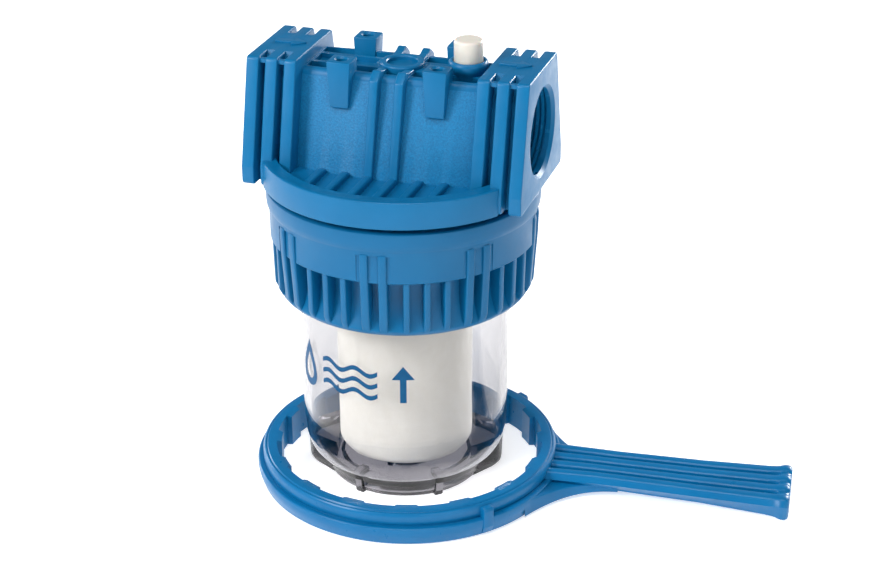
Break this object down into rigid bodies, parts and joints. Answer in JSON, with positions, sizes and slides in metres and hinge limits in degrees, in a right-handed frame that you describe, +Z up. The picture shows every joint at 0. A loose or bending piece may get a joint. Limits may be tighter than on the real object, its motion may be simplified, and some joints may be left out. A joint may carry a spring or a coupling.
{
  "type": "cartridge filter housing",
  "caption": "In-line cartridge filter housing: ribbed blue head with threaded ports, locking nut, clear bowl, felt cartridge, vent screw and a loose ring wrench.",
  "frame": {"origin": "on the bowl's axis, at the plane that the bowl's foot and the wrench stand on", "axes": "+Z up along the bowl's axis; +X along the two ports, from the inlet to the outlet; -Y towards the front"},
  "size_m": [0.2551, 0.1456, 0.2163],
  "materials": {
    "head_plastic": "moulded blue polypropylene with glass fibre, fine grained, satin",
    "nut_plastic": "moulded blue polypropylene, satin",
    "wrench_plastic": "moulded blue polypropylene, semi-gloss",
    "clear_plastic": "clear moulded bowl plastic, faintly grey-violet where it is thick",
    "white_felt": "melt-blown or felted fibre, matt and slightly fuzzy",
    "core_plastic": "natural moulded plastic",
    "vent_plastic": "natural off-white moulded plastic, slightly translucent",
    "seal_rubber": "black seal rubber"
  },
  "bodies": {
    "head": {"head": "head_plastic"},
    "cartridge": {"filter_media": "white_felt", "filter_core": "core_plastic"},
    "bowl": {"bowl": "clear_plastic", "bowl_oring": "seal_rubber"},
    "nut": {"locking_nut": "nut_plastic"},
    "vent_seal": {"vent_oring": "seal_rubber"},
    "vent": {"vent_screw": "vent_plastic"},
    "wrench": {"wrench": "wrench_plastic"}
  },
  "joints": [
    {"name": "cartridge_pull", "type": "slide", "parent": "head", "child": "cartridge", "axis": [0, 0, -1], "range_m": [0, 0.06]},
    {"name": "bowl_lower", "type": "slide", "parent": "cartridge", "child": "bowl", "axis": [0, 0, -1], "range_m": [0, 0.015]},
    {"name": "nut_turn", "type": "hinge", "parent": "bowl", "child": "nut", "pos_m": [0, 0, 0.1], "axis": [0, 0, 1], "range_deg": [0, 1080]},
    {"name": "vent_lift", "type": "slide", "parent": "head", "child": "vent_seal", "axis": [0, 0, 1], "range_m": [0, 0.0045]},
    {"name": "vent_turn", "type": "hinge", "parent": "vent_seal", "child": "vent", "pos_m": [0.0307, 0, 0.2], "axis": [0, 0, 1], "range_deg": [0, 1080]},
    {"name": "wrench_lift", "type": "slide", "parent": "head", "child": "wrench", "axis": [-0.0456, 0.0752, 0.9961], "range_m": [0, 0.0878]}
  ],
  "couplings": [
    {"joint": "bowl_lower", "follows": "nut_turn", "m_per_rad": 0.00079577},
    {"joint": "vent_lift", "follows": "vent_turn", "m_per_rad": 0.00023873}
  ]
}
